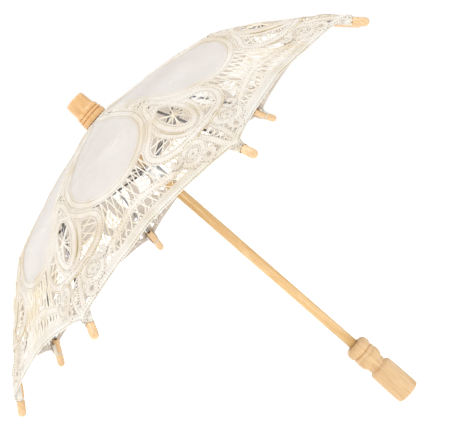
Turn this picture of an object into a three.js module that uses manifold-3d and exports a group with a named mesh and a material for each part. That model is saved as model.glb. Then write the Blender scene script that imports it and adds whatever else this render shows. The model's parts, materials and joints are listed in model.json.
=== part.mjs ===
// A child-size lace parasol on a turned wooden shaft, open.
// Millimetres, +Z up. The origin is the centre of the handle's flat end, and the shaft is the Z axis.
import * as THREE from "three";
import { mergeVertices } from "three/addons/utils/BufferGeometryUtils.js";
import Module from "manifold-3d";

const wasm = await Module();
wasm.setup();

// ---- Overall sizes ----
const RIB_COUNT = 8;
const FIRST_RIB_DEG = 14.4;
const HUB_HINGE_Z = 393.5;
const HINGE_CIRCLE_R = 9.5;
const ELBOW_R = 146.5;
const ELBOW_Z = 362.6;
const TIP_END_R = 255;
const TIP_END_Z = 266.1;
const INNER_BEND_DEG = 13;
const OUTER_BEND_DEG = 20;

// ---- Wood ----
const SHAFT_R = 5;
const SHAFT_START_Z = 31;
const SHAFT_END_Z = 412;
const HANDLE_LENGTH = 71;
const HANDLE_R = 12.8;
const FINIAL_BOTTOM_Z = 398.7;
const FINIAL_HEIGHT = 28.7;
const FINIAL_R = 13.6;
const TIP_LENGTH = 32;
const TIP_R = 4;
const TIP_WAIST_R = 3.3;
const TIP_WAIST_FROM_END = 16;
const TIP_BORE_DEPTH = 13;
const TIP_HOLE_R = 0.8;
const TIP_HOLE_FROM_END = 18.5;

// ---- Metal ----
const RIB_R = 1.2;
const STRETCHER_R = 1.1;
const EYE_R = 2;
const EYE_THICKNESS = 1.6;
const TAB_R = 1.7;
const TAB_THICKNESS = 1;
const TAB_LENGTH = 6;
const RIVET_R = 0.6;
const RIVET_HEAD_R = 1.3;
const RIVET_HEAD_HEIGHT = 0.6;
const FORK_REACH = 15;
const FORK_ROOT = 4;
const FORK_CHEEK = 0.9;
const FORK_CHEEK_R = 1.6;
const WIRE_R = 0.5;
const PIN_R = 0.6;
const PIN_LENGTH = 15;
const HUB_R = 12;
const HUB_HEIGHT = 7.6;
const HUB_ROOF = 0.6;
const HUB_SLOT = 2.8;
const RUNNER_SLEEVE_R = 6.5;
const RUNNER_BEAD_R = 7.2;
const RUNNER_FLANGE_R = 11.8;
const RUNNER_FLANGE_HALF = 3;
const RUNNER_SLEEVE_LENGTH = 21;
const RUNNER_SLOT = 2.8;
const CATCH_HEIGHT = 24;
const CATCH_THICKNESS = 1.6;
const CATCH_STRIP = 1.2;
const CATCH_NOSE_R = 7.3;
const CATCH_GAP_Z = 0.6;

// ---- Cloth ----
const CLOTH = 0.8;
const CLOTH_SHOULDER = 26;
const HEM_RISE = 16;
const ROSETTE_R = 15.5;
const ROSETTE = 0.6;

// ---- Fits ----
const GAP = 0.3;
const TAB_GAP = 0.15;

// ---- Facets round a circle ----
const TURNED_FACETS = 28;
const PIECE_FACETS = 12;
const HOLE_FACETS = 8;

// ---- Worked out ----
const SECTOR = (2 * Math.PI) / RIB_COUNT;
const HALF_SECTOR = SECTOR / 2;
const RUNNER_HINGE_Z = HUB_HINGE_Z - 2 * (HUB_HINGE_Z - ELBOW_Z);
const HUB_TOP_Z = HUB_HINGE_Z + EYE_R + GAP + HUB_ROOF;
const HUB_BOTTOM_Z = HUB_TOP_Z - HUB_HEIGHT;
const CLOTH_TOP_Z = HUB_TOP_Z + GAP + CLOTH / 2;
const ROSETTE_Z = CLOTH_TOP_Z + CLOTH / 2 + GAP;
const RUNNER_BOTTOM_Z = RUNNER_HINGE_Z - RUNNER_FLANGE_HALF - RUNNER_SLEEVE_LENGTH;
const CATCH_TOP_Z = RUNNER_BOTTOM_Z - CATCH_GAP_Z;
const CATCH_FOOT_Z = CATCH_TOP_Z - CATCH_HEIGHT;
const CLOTH_TOP_R = (HUB_R + CLOTH) / Math.cos(HALF_SECTOR);
const CLOTH_LIFT = (FORK_CHEEK_R + GAP * 2 + CLOTH / 2) / Math.cos(HALF_SECTOR);
const TIP_CLOTH_LIFT = (TIP_R + GAP + CLOTH / 2) / Math.cos(HALF_SECTOR);

const steel = new THREE.MeshStandardMaterial({ color: 0xb9bcbd, roughness: 0.25, metalness: 1 });
const brightWire = new THREE.MeshStandardMaterial({ color: 0xc9c9c4, roughness: 0.2, metalness: 1 });
const honeyWood = new THREE.MeshStandardMaterial({ color: 0xf2c489, roughness: 0.45, metalness: 0 });
const paleWood = new THREE.MeshStandardMaterial({ color: 0xf1c598, roughness: 0.42, metalness: 0 });
const finialWood = new THREE.MeshStandardMaterial({ color: 0xf0b97c, roughness: 0.42, metalness: 0 });
const lace = new THREE.MeshStandardMaterial({ color: 0xf5eedd, roughness: 0.9, metalness: 0 });

const group = new THREE.Group();

function addMesh(parent, name, geometry, material) {
  const mesh = new THREE.Mesh(geometry, material);
  mesh.name = name;
  parent.add(mesh);
  return mesh;
}

// ---- Solids ----

function toSolid(geometry) {
  const bare = geometry.index ? geometry.toNonIndexed() : geometry.clone();
  bare.deleteAttribute("normal");
  bare.deleteAttribute("uv");
  const merged = mergeVertices(bare, 1e-4);
  return new wasm.Manifold(
    new wasm.Mesh({
      numProp: 3,
      vertProperties: new Float32Array(merged.attributes.position.array),
      triVerts: new Uint32Array(merged.index.array),
    }),
  );
}

function toGeometry(solid) {
  const mesh = solid.getMesh();
  const geometry = new THREE.BufferGeometry();
  geometry.setAttribute("position", new THREE.BufferAttribute(new Float32Array(mesh.vertProperties), 3));
  geometry.setIndex(new THREE.BufferAttribute(new Uint32Array(mesh.triVerts), 1));
  geometry.computeVertexNormals();
  return geometry;
}

function joined(geometries) {
  return geometries.map(toSolid).reduce((whole, piece) => whole.add(piece));
}

function cut(solid, geometries) {
  return geometries.map(toSolid).reduce((whole, piece) => whole.subtract(piece), solid);
}

// A turned solid about Z from [radius, z] corners.
function turned(corners, segments) {
  const profile = corners.map(([r, z]) => new THREE.Vector2(r, z));
  return new THREE.LatheGeometry(profile, segments).rotateX(Math.PI / 2);
}

function zCylinder(radius, bottom, top, segments) {
  return turned([[0, bottom], [radius, bottom], [radius, top], [0, top]], segments);
}

// A cylinder along Y between two widths, centred on [x, z].
function yCylinder(radius, from, to, [x, z], segments) {
  const geometry = new THREE.CylinderGeometry(radius, radius, to - from, segments);
  return geometry.translate(x, (from + to) / 2, z);
}

// A bar from one [x, z] point towards another, between two widths along Y.
function bar([x0, z0], [x1, z1], height, from, to) {
  const length = Math.hypot(x1 - x0, z1 - z0);
  const geometry = new THREE.BoxGeometry(length, to - from, height);
  geometry.rotateY(-Math.atan2(z1 - z0, x1 - x0));
  return geometry.translate((x0 + x1) / 2, (from + to) / 2, (z0 + z1) / 2);
}

function wireAlong(curve, radius, sides, steps) {
  const section = new THREE.Shape();
  for (let i = 0; i < sides; i += 1) {
    const angle = (2 * Math.PI * (i + 0.5)) / sides;
    section[i ? "lineTo" : "moveTo"](radius * Math.cos(angle), radius * Math.sin(angle));
  }
  section.closePath();
  return new THREE.ExtrudeGeometry(section, { steps, extrudePath: curve });
}

// ---- The rib's line in its own plane, with x outward and z up ----

// A circular arc between two [x, z] points that turns downward by bend as it goes out.
class Bow extends THREE.Curve {
  constructor([x0, z0], [x1, z1], bend) {
    super();
    this.start = [x0, z0];
    this.slope = Math.atan2(z1 - z0, x1 - x0);
    this.chord = Math.hypot(x1 - x0, z1 - z0);
    this.bend = bend;
    this.radius = this.chord / (2 * Math.sin(bend / 2));
  }

  angleAt(share) {
    return this.slope + this.bend / 2 - this.bend * share;
  }

  at(share, lift = 0) {
    const half = this.bend / 2;
    const turn = (share - 0.5) * this.bend;
    const along = this.chord / 2 + (this.radius + lift) * Math.sin(turn);
    const up = this.radius * (Math.cos(turn) - Math.cos(half)) + lift * Math.cos(turn);
    const [x0, z0] = this.start;
    const c = Math.cos(this.slope);
    const s = Math.sin(this.slope);
    return [x0 + along * c - up * s, z0 + along * s + up * c];
  }

  getPoint(share) {
    const [x, z] = this.at(this.from + (this.to - this.from) * share);
    return new THREE.Vector3(x, 0, z);
  }

  part(from, to) {
    this.from = from;
    this.to = to;
    return this;
  }

  get length() {
    return this.radius * this.bend;
  }
}

const degrees = THREE.MathUtils.degToRad;
const hubHinge = [HINGE_CIRCLE_R, HUB_HINGE_Z];
const elbow = [ELBOW_R, ELBOW_Z];
const tipEnd = [TIP_END_R, TIP_END_Z];
const runnerHinge = [HINGE_CIRCLE_R, RUNNER_HINGE_Z];
const innerBow = () => new Bow(hubHinge, elbow, degrees(INNER_BEND_DEG));
const outerBow = () => new Bow(elbow, tipEnd, degrees(OUTER_BEND_DEG));

function ribAngle(index) {
  return degrees(FIRST_RIB_DEG) + index * SECTOR;
}

// ---- Wooden pieces ----

function makeShaft() {
  const rod = toSolid(zCylinder(SHAFT_R, SHAFT_START_Z, SHAFT_END_Z, TURNED_FACETS));
  const slotWidth = CATCH_THICKNESS + 2 * GAP;
  const slotDepth = SHAFT_R * 2;
  const slotHeight = CATCH_HEIGHT + 3;
  const slot = new THREE.BoxGeometry(slotDepth, slotWidth, slotHeight);
  slot.translate(slotDepth / 2 - 1.8, 0, CATCH_FOOT_Z - 1 + slotHeight / 2);
  const pinHoles = [hubPinZ(), stopPinZ()].map((z) =>
    yCylinder(PIN_R + GAP, -SHAFT_R * 2, SHAFT_R * 2, [0, z], PIECE_FACETS),
  );
  return toGeometry(cut(rod, [slot, ...pinHoles]));
}

function makeHandle() {
  const top = HANDLE_LENGTH;
  const bore = SHAFT_R + GAP;
  return turned(
    [
      [0, 0],
      [HANDLE_R * 0.85, 0],
      [HANDLE_R * 0.95, 1],
      [HANDLE_R, 3.2],
      [HANDLE_R * 0.99, 18],
      [HANDLE_R * 0.96, 34.5],
      [HANDLE_R * 0.93, 37.5],
      [HANDLE_R * 0.78, 39.5],
      [HANDLE_R * 0.735, 41.5],
      [HANDLE_R * 0.75, 43],
      [HANDLE_R * 0.86, 45],
      [HANDLE_R * 0.95, 49],
      [HANDLE_R * 0.955, 52],
      [HANDLE_R * 0.92, 56.5],
      [HANDLE_R * 0.87, 58.8],
      [HANDLE_R * 0.87, 59.8],
      [HANDLE_R * 0.95, 61.5],
      [HANDLE_R * 0.975, 64.5],
      [HANDLE_R * 0.94, 67.5],
      [HANDLE_R * 0.8, 70],
      [HANDLE_R * 0.66, top],
      [bore, top],
      [bore, SHAFT_START_Z - GAP],
      [0, SHAFT_START_Z - GAP],
    ],
    TURNED_FACETS,
  );
}

function makeFinial() {
  const base = FINIAL_BOTTOM_Z;
  const top = base + FINIAL_HEIGHT;
  const bore = SHAFT_R + GAP;
  return turned(
    [
      [0, SHAFT_END_Z + GAP],
      [bore, SHAFT_END_Z + GAP],
      [bore, base],
      [FINIAL_R * 0.9, base],
      [FINIAL_R, base + 1.4],
      [FINIAL_R * 0.985, base + 5.2],
      [FINIAL_R * 0.94, base + 5.8],
      [FINIAL_R * 0.965, base + 6.4],
      [FINIAL_R * 0.945, base + 9],
      [FINIAL_R * 0.9, base + 9.6],
      [FINIAL_R * 0.92, base + 10.2],
      [FINIAL_R * 0.88, base + 13.2],
      [FINIAL_R * 0.82, base + 14.8],
      [FINIAL_R * 0.8, base + 16.5],
      [FINIAL_R * 0.77, top - 3.4],
      [FINIAL_R * 0.73, top - 1.4],
      [FINIAL_R * 0.62, top - 0.3],
      [FINIAL_R * 0.45, top],
      [0, top],
    ],
    TURNED_FACETS,
  );
}

// A rounded wooden ferrule along +Z, its closed end at z = 0 and its bore at the far end.
function makeTip() {
  const bore = RIB_R + GAP * 2;
  const waist = TIP_WAIST_FROM_END;
  const body = turned(
    [
      [0, 0],
      [TIP_R * 0.5, 0.5],
      [TIP_R * 0.85, 2],
      [TIP_R, 4.5],
      [TIP_R, waist - 2],
      [TIP_WAIST_R, waist - 0.8],
      [TIP_WAIST_R, waist + 0.8],
      [TIP_R, waist + 2],
      [TIP_R * 0.95, TIP_LENGTH - 3],
      [TIP_R * 0.75, TIP_LENGTH],
      [bore, TIP_LENGTH],
      [bore, TIP_LENGTH - TIP_BORE_DEPTH],
      [0, TIP_LENGTH - TIP_BORE_DEPTH],
    ],
    PIECE_FACETS,
  );
  const hole = yCylinder(TIP_HOLE_R, -TIP_R * 2, TIP_R * 2, [0, TIP_HOLE_FROM_END], HOLE_FACETS);
  return toGeometry(cut(toSolid(body), [hole]));
}

// The tip lies along the rib's direction at the middle of its bore.
function tipGrip() {
  return TIP_LENGTH - TIP_BORE_DEPTH / 2;
}

function tipAngle() {
  const bow = outerBow();
  return bow.angleAt(1 - shareNear(bow, tipGrip()));
}

function tipOrigin() {
  const bow = outerBow();
  const [x, z] = bow.at(1 - shareNear(bow, tipGrip()));
  return [x + tipGrip() * Math.cos(tipAngle()), z + tipGrip() * Math.sin(tipAngle())];
}

// ---- Metal pieces on the shaft ----

function hubPinZ() {
  return HUB_BOTTOM_Z - PIN_R - GAP;
}

function stopPinZ() {
  return RUNNER_HINGE_Z + RUNNER_FLANGE_HALF + PIN_R + GAP;
}

function makePin(z) {
  return yCylinder(PIN_R, -PIN_LENGTH / 2, PIN_LENGTH / 2, [0, z], PIECE_FACETS);
}

// A radial slot at each rib, from an inner radius to past the rim.
function radialSlots(width, inner, outer, bottom, top) {
  return Array.from({ length: RIB_COUNT }, (_, i) => {
    const slot = new THREE.BoxGeometry(outer - inner, width, top - bottom);
    slot.translate((inner + outer) / 2, 0, (bottom + top) / 2);
    return slot.rotateZ(ribAngle(i));
  });
}

function makeHub() {
  const bore = SHAFT_R + GAP;
  const body = turned(
    [
      [bore, HUB_BOTTOM_Z],
      [HUB_R - 1, HUB_BOTTOM_Z],
      [HUB_R, HUB_BOTTOM_Z + 1],
      [HUB_R, HUB_TOP_Z - 0.4],
      [HUB_R - 0.4, HUB_TOP_Z],
      [bore, HUB_TOP_Z],
      [bore, HUB_BOTTOM_Z],
    ],
    TURNED_FACETS,
  );
  const clear = WIRE_R + GAP;
  const groove = turned(
    [
      [HINGE_CIRCLE_R - clear, HUB_HINGE_Z - clear],
      [HUB_R * 2, HUB_HINGE_Z - clear],
      [HUB_R * 2, HUB_HINGE_Z + clear],
      [HINGE_CIRCLE_R - clear, HUB_HINGE_Z + clear],
      [HINGE_CIRCLE_R - clear, HUB_HINGE_Z - clear],
    ],
    TURNED_FACETS,
  );
  const floor = HINGE_CIRCLE_R - EYE_R - GAP;
  const slots = radialSlots(HUB_SLOT, floor, HUB_R * 2, HUB_BOTTOM_Z - 5, HUB_TOP_Z - HUB_ROOF);
  return toGeometry(cut(toSolid(body), [groove, ...slots]));
}

function makeHubWire() {
  const ring = new THREE.TorusGeometry(HINGE_CIRCLE_R, WIRE_R, 6, 40);
  return ring.translate(0, 0, HUB_HINGE_Z);
}

function makeRunner() {
  const bore = SHAFT_R + GAP;
  const low = RUNNER_HINGE_Z - RUNNER_FLANGE_HALF;
  const high = RUNNER_HINGE_Z + RUNNER_FLANGE_HALF;
  const bottom = RUNNER_BOTTOM_Z;
  const body = turned(
    [
      [bore, bottom],
      [RUNNER_BEAD_R - 0.4, bottom],
      [RUNNER_BEAD_R, bottom + 0.6],
      [RUNNER_BEAD_R, bottom + 2],
      [RUNNER_SLEEVE_R, bottom + 3],
      [RUNNER_SLEEVE_R, low],
      [RUNNER_FLANGE_R - 0.6, low],
      [RUNNER_FLANGE_R, low + 0.6],
      [RUNNER_FLANGE_R, high - 0.6],
      [RUNNER_FLANGE_R - 0.6, high],
      [bore, high],
      [bore, bottom],
    ],
    TURNED_FACETS,
  );
  const slots = radialSlots(RUNNER_SLOT, RUNNER_SLEEVE_R + 0.2, RUNNER_FLANGE_R * 2, low - 1, high + 1);
  return toGeometry(cut(toSolid(body), slots));
}

// A bent spring strip in the shaft's slot: its nose stands out under the runner.
function makeCatch() {
  const outline = new THREE.Shape();
  const spine = SHAFT_R * 0.55;
  outline.moveTo(spine - CATCH_STRIP, CATCH_FOOT_Z);
  outline.lineTo(spine, CATCH_FOOT_Z);
  outline.lineTo(spine, CATCH_FOOT_Z + 5);
  outline.lineTo(SHAFT_R - 0.6, CATCH_FOOT_Z + 12);
  outline.lineTo(CATCH_NOSE_R, CATCH_TOP_Z - 2.2);
  outline.lineTo(CATCH_NOSE_R, CATCH_TOP_Z);
  outline.lineTo(SHAFT_R - 1.6, CATCH_TOP_Z);
  outline.lineTo(SHAFT_R - 1.6, CATCH_TOP_Z - 3.4);
  outline.lineTo(SHAFT_R - 1.8, CATCH_FOOT_Z + 13);
  outline.lineTo(spine - CATCH_STRIP, CATCH_FOOT_Z + 6);
  outline.closePath();
  const plate = new THREE.ExtrudeGeometry(outline, { depth: CATCH_THICKNESS, bevelEnabled: false });
  return plate.translate(0, 0, -CATCH_THICKNESS / 2).rotateX(Math.PI / 2);
}

// ---- Ribs and stretchers, drawn in the rib's plane ----

function shareNear(bow, distance) {
  return distance / bow.length;
}

function makeInnerRib() {
  const bow = innerBow();
  const wire = wireAlong(bow.part(0, 1 - shareNear(bow, TAB_LENGTH - 2)), RIB_R, 8, 7);
  const eye = yCylinder(EYE_R, -EYE_THICKNESS / 2, EYE_THICKNESS / 2, hubHinge, PIECE_FACETS);
  const outside = -TAB_GAP - TAB_THICKNESS;
  const neck = bar(elbow, bow.at(1 - shareNear(bow, TAB_LENGTH)), RIB_R * 2, outside, -TAB_GAP);
  const tab = yCylinder(TAB_R, outside, -TAB_GAP, elbow, PIECE_FACETS);
  const wireHole = yCylinder(WIRE_R + GAP, -EYE_R, EYE_R, hubHinge, HOLE_FACETS);
  const rivetHole = yCylinder(RIVET_R + GAP, -EYE_R, EYE_R, elbow, HOLE_FACETS);
  return toGeometry(cut(joined([wire, eye, neck, tab]), [wireHole, rivetHole]));
}

function makeOuterRib() {
  const bow = outerBow();
  const insideTip = TIP_LENGTH - TIP_BORE_DEPTH + GAP;
  const shares = [shareNear(bow, TAB_LENGTH - 2), 1 - shareNear(bow, insideTip)];
  const wire = wireAlong(bow.part(...shares), RIB_R, 8, 7);
  const outside = TAB_GAP + TAB_THICKNESS;
  const neck = bar(elbow, bow.at(shareNear(bow, TAB_LENGTH)), RIB_R * 2, TAB_GAP, outside);
  const tab = yCylinder(TAB_R, TAB_GAP, outside, elbow, PIECE_FACETS);
  const rivetHole = yCylinder(RIVET_R + GAP, -EYE_R, EYE_R, elbow, HOLE_FACETS);
  return toGeometry(cut(joined([wire, neck, tab]), [rivetHole]));
}

// The point a distance from the elbow towards the runner's hinge.
function towardsRunner(distance) {
  const length = Math.hypot(elbow[0] - runnerHinge[0], elbow[1] - runnerHinge[1]);
  return elbow.map((value, i) => value + ((runnerHinge[i] - value) * distance) / length);
}

function makeStretcher() {
  const inside = TAB_GAP * 2 + TAB_THICKNESS + GAP / 2;
  const outside = inside + FORK_CHEEK;
  const start = new THREE.Vector3(runnerHinge[0], 0, runnerHinge[1]);
  const [x, z] = towardsRunner(FORK_REACH + FORK_ROOT / 2);
  const wire = wireAlong(new THREE.LineCurve3(start, new THREE.Vector3(x, 0, z)), STRETCHER_R, 8, 1);
  const eye = yCylinder(EYE_R - 0.2, -EYE_THICKNESS / 2, EYE_THICKNESS / 2, runnerHinge, PIECE_FACETS);
  const root = bar(
    towardsRunner(FORK_REACH),
    towardsRunner(FORK_REACH + FORK_ROOT),
    FORK_CHEEK_R * 2,
    -outside,
    outside,
  );
  const pieces = [wire, eye, root];
  for (const side of [-1, 1]) {
    const [from, to] = side < 0 ? [-outside, -inside] : [inside, outside];
    pieces.push(bar(elbow, towardsRunner(FORK_REACH + 1), FORK_CHEEK_R * 2, from, to));
    pieces.push(yCylinder(FORK_CHEEK_R, from, to, elbow, PIECE_FACETS));
    const head = side < 0 ? [-outside - RIVET_HEAD_HEIGHT, -outside] : [outside, outside + RIVET_HEAD_HEIGHT];
    pieces.push(yCylinder(RIVET_HEAD_R, head[0], head[1], elbow, PIECE_FACETS));
  }
  pieces.push(yCylinder(RIVET_R, -outside, outside, elbow, HOLE_FACETS));
  const wireHole = yCylinder(WIRE_R + GAP, -EYE_R, EYE_R, runnerHinge, HOLE_FACETS);
  return toGeometry(cut(joined(pieces), [wireHole]));
}

// ---- Canopy ----

// The cloth's line over a rib: flat over the hub, then a fixed height over the rib, and over the tip.
function clothOverRib(bow, share) {
  const [r] = bow.at(share);
  const tipStart = TIP_END_R - TIP_LENGTH * 0.8;
  const overTip = THREE.MathUtils.smoothstep(r, tipStart - 10, tipStart);
  const lift = CLOTH_LIFT + (TIP_CLOTH_LIFT - CLOTH_LIFT) * overTip;
  const [x, raised] = bow.at(share, lift);
  const nearHub = 1 - THREE.MathUtils.smoothstep(r, CLOTH_TOP_R, CLOTH_TOP_R + CLOTH_SHOULDER);
  return [x, THREE.MathUtils.lerp(raised, CLOTH_TOP_Z, nearHub)];
}

// A closed sheet from rows of points, one cloth thick, one layer above the other.
function clothSolid(rows) {
  const columns = rows[0].length;
  const grid = new THREE.PlaneGeometry(1, 1, columns - 1, rows.length - 1);
  const flat = rows.flat();
  grid.attributes.position.array.set(flat.flatMap((p) => [p.x, p.y, p.z]));
  grid.computeVertexNormals();
  const normals = grid.attributes.normal;
  const sign = normals.getZ(0) < 0 ? -1 : 1;
  const positions = [];
  for (const side of [1, -1]) {
    flat.forEach((p, i) => {
      const n = new THREE.Vector3().fromBufferAttribute(normals, i);
      positions.push(...p.clone().addScaledVector(n, (sign * side * CLOTH) / 2).toArray());
    });
  }
  return closeLayers(positions, columns, rows.length, sign < 0);
}

function closeLayers(positions, columns, rowCount, flip) {
  const index = [];
  const lower = columns * rowCount;
  const quad = (a, b, c, d) => index.push(...(flip ? [a, b, c, a, c, d] : [a, c, b, a, d, c]));
  for (let row = 0; row < rowCount - 1; row += 1) {
    for (let column = 0; column < columns - 1; column += 1) {
      const a = row * columns + column;
      quad(a, a + 1, a + columns + 1, a + columns);
      quad(lower + a, lower + a + columns, lower + a + columns + 1, lower + a + 1);
    }
  }
  const edge = [];
  for (let column = 0; column < columns - 1; column += 1) edge.push(column);
  for (let row = 0; row < rowCount - 1; row += 1) edge.push(row * columns + columns - 1);
  for (let column = columns - 1; column > 0; column -= 1) edge.push((rowCount - 1) * columns + column);
  for (let row = rowCount - 1; row > 0; row -= 1) edge.push(row * columns);
  edge.forEach((a, i) => {
    const b = edge[(i + 1) % edge.length];
    quad(a, lower + a, lower + b, b);
  });
  const geometry = new THREE.BufferGeometry();
  geometry.setAttribute("position", new THREE.Float32BufferAttribute(positions, 3));
  geometry.setIndex(index);
  geometry.computeVertexNormals();
  return geometry;
}

// One row of the cloth between the middles of two neighbouring panels, with the rib in the middle.
// The cloth is drawn tight, so it goes straight from rib to rib.
function clothRow(line, columns) {
  return Array.from({ length: columns }, (_, i) => {
    const side = (2 * i) / (columns - 1) - 1;
    const [x, z] = line(Math.abs(side));
    const across = x * Math.cos(HALF_SECTOR);
    const widest = HALF_SECTOR - Math.asin(GAP / 2 / across);
    const angle = side * widest;
    const radius = across / Math.cos(HALF_SECTOR - Math.abs(angle));
    return new THREE.Vector3(radius * Math.cos(angle), radius * Math.sin(angle), z);
  });
}

function makeUpperCloth() {
  const bow = innerBow();
  const shares = [0.03, 0.08, 0.16, 0.28, 0.44, 0.62, 0.8, 1 - shareNear(bow, GAP / 2)];
  const collar = [SHAFT_R + GAP * 4, CLOTH_TOP_Z];
  const rows = [clothRow(() => collar, 3)];
  for (const share of shares) rows.push(clothRow(() => clothOverRib(bow, share), 3));
  return clothSolid(rows);
}

// The hem reaches the tip's waist at the rib and rises towards the middle of the panel.
function makeLowerCloth() {
  const bow = outerBow();
  const start = shareNear(bow, GAP / 2);
  const atRib = 1 - shareNear(bow, TIP_WAIST_FROM_END);
  const inMiddle = atRib - shareNear(bow, HEM_RISE);
  const rows = [];
  for (const step of [0, 0.2, 0.4, 0.6, 0.8, 0.9, 1]) {
    const line = (side) => {
      const end = atRib + (inMiddle - atRib) * Math.sqrt(side);
      return clothOverRib(bow, start + (end - start) * step);
    };
    rows.push(clothRow(line, 7));
  }
  return clothSolid(rows);
}

function makeRosette() {
  const inner = SHAFT_R + GAP;
  const low = ROSETTE_Z;
  return turned(
    [
      [inner, low],
      [ROSETTE_R, low],
      [ROSETTE_R, low + ROSETTE],
      [inner, low + ROSETTE],
      [inner, low],
    ],
    TURNED_FACETS,
  );
}

// ---- Assembly ----

addMesh(group, "shaft", makeShaft(), honeyWood);
addMesh(group, "handle", makeHandle(), paleWood);
addMesh(group, "finial", makeFinial(), finialWood);
addMesh(group, "crown_rosette", makeRosette(), lace);
addMesh(group, "top_notch", makeHub(), steel);
addMesh(group, "top_notch_wire", makeHubWire(), brightWire);
addMesh(group, "top_notch_pin", makePin(hubPinZ()), brightWire);
addMesh(group, "stop_pin", makePin(stopPinZ()), brightWire);
addMesh(group, "spring_catch", makeCatch(), brightWire);
addMesh(group, "runner", makeRunner(), steel);

for (let i = 0; i < RIB_COUNT; i += 1) {
  const spoke = new THREE.Group();
  spoke.rotation.z = ribAngle(i);
  group.add(spoke);
  const number = i + 1;
  addMesh(spoke, `rib_inner_${number}`, makeInnerRib(), steel);
  addMesh(spoke, `rib_outer_${number}`, makeOuterRib(), steel);
  addMesh(spoke, `stretcher_${number}`, makeStretcher(), steel);
  addMesh(spoke, `canopy_upper_${number}`, makeUpperCloth(), lace);
  addMesh(spoke, `canopy_lower_${number}`, makeLowerCloth(), lace);
  const tip = addMesh(spoke, `tip_${number}`, makeTip(), paleWood);
  const [x, z] = tipOrigin();
  tip.position.set(x, 0, z);
  tip.rotation.y = -tipAngle() - Math.PI / 2;
}

export default group;
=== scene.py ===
import json
import math

import bmesh
import bpy
import numpy as np
from mathutils import Matrix, Vector, noise


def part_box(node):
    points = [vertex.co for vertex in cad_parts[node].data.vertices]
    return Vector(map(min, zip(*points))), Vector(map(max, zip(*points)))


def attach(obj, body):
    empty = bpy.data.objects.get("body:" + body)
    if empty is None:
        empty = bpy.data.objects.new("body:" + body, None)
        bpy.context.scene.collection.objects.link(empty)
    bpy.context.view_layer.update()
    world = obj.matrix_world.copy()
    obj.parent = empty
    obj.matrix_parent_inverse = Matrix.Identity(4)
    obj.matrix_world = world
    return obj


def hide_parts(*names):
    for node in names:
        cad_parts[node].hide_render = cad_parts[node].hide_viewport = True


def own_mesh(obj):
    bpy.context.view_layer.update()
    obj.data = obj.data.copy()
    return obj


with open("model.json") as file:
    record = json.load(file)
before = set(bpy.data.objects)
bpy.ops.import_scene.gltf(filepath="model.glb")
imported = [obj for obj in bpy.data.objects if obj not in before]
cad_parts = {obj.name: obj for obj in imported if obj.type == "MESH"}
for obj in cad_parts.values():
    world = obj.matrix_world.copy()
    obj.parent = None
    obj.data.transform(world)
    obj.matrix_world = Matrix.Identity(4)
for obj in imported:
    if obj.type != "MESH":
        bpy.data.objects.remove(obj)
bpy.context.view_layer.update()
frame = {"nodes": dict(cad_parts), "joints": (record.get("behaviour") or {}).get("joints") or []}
NODES = frame["nodes"]
JOINTS = {joint["name"]: joint for joint in frame["joints"]}
MM = 0.001

# ---- Sizes shared with the CAD model, in millimetres ----
RIBS = 8
SECTOR = 2 * math.pi / RIBS
HALF = SECTOR / 2
INNER_BEND = math.radians(13)
OUTER_BEND = math.radians(20)
TIP_END = (255.0, 266.1)
TIP_LENGTH = 32.0
TIP_R = 4.0
TIP_BORE = 13.0
WAIST = 16.0
SHAFT_R = 5.0
HANDLE_R = 12.8
FINIAL_R = 13.6
FINIAL_Z = 398.7
ROSETTE_R = 15.5
CLOTH_LIFT = 2.81
TIP_LIFT = 5.09
FLAT_TOP_R = 13.85
SHOULDER = 26.0

# ---- Lace, in millimetres ----
TAPE = 9.4
OVAL_TAPE = 8.6
LOBE_TAPE = 8.6
RING_TAPE = 6.0
CORNER_TAPE = 6.6
HEM = 6.5
HEM_RISE = 17.0
THREAD_R = 0.58
THREAD_SLACK = 0.035
CORD_R = 0.42
TUCK = 1.4
STAIN_AND_SHADE_CORD_LIFT = 0.85
STEP = 1.6
CREASES = ((157.0, 17.0),)
CREASE_HEIGHT = 1.1
CREASE_WIDTH = 1.7
CUFF_LENGTH = 14.0
CUFF_R = 4.8
CUFF_REACH_DEG = 108
TIE_R = (3.65, 4.25)

rng = np.random.RandomState(11)


# ---- The rib's line and the cloth over it ----
class Bow:
    def __init__(self, start, end, bend):
        self.start = np.array(start, float)
        chord = np.array(end, float) - self.start
        self.chord = np.hypot(*chord)
        self.slope = math.atan2(chord[1], chord[0])
        self.bend = bend
        self.radius = self.chord / (2 * math.sin(bend / 2))
        self.length = self.radius * bend

    def at(self, share, lift=0.0):
        turn = (share - 0.5) * self.bend
        along = self.chord / 2 + (self.radius + lift) * math.sin(turn)
        up = self.radius * (math.cos(turn) - math.cos(self.bend / 2)) + lift * math.cos(turn)
        c, s = math.cos(self.slope), math.sin(self.slope)
        return self.start + np.array([along * c - up * s, along * s + up * c])

    def angle_at(self, share):
        return self.slope + self.bend / 2 - self.bend * share


def joint_point(name):
    x, y, z = (value / MM for value in JOINTS[name]["pos_m"])
    return math.hypot(x, y), z


def rib_angle(rib):
    x, y, _ = JOINTS[f"rib_bow_{rib}"]["pos_m"]
    return math.atan2(y, x)


HUB = joint_point("rib_fold_1")
ELBOW = joint_point("rib_bow_1")
INNER = Bow(HUB, ELBOW, INNER_BEND)
OUTER = Bow(ELBOW, TIP_END, OUTER_BEND)
CLOTH_TOP_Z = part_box("canopy_upper_1")[1].z / MM - 0.4


def smooth(x, low, high):
    t = min(max((x - low) / (high - low), 0.0), 1.0)
    return t * t * (3 - 2 * t)


def cloth_point(bow, share):
    r = bow.at(share)[0]
    over_tip = smooth(r, TIP_END[0] - TIP_LENGTH * 0.8 - 10, TIP_END[0] - TIP_LENGTH * 0.8)
    x, z = bow.at(share, CLOTH_LIFT + (TIP_LIFT - CLOTH_LIFT) * over_tip)
    near_hub = 1 - smooth(r, FLAT_TOP_R, FLAT_TOP_R + SHOULDER)
    return x, z + (CLOTH_TOP_Z - z) * near_hub


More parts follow.
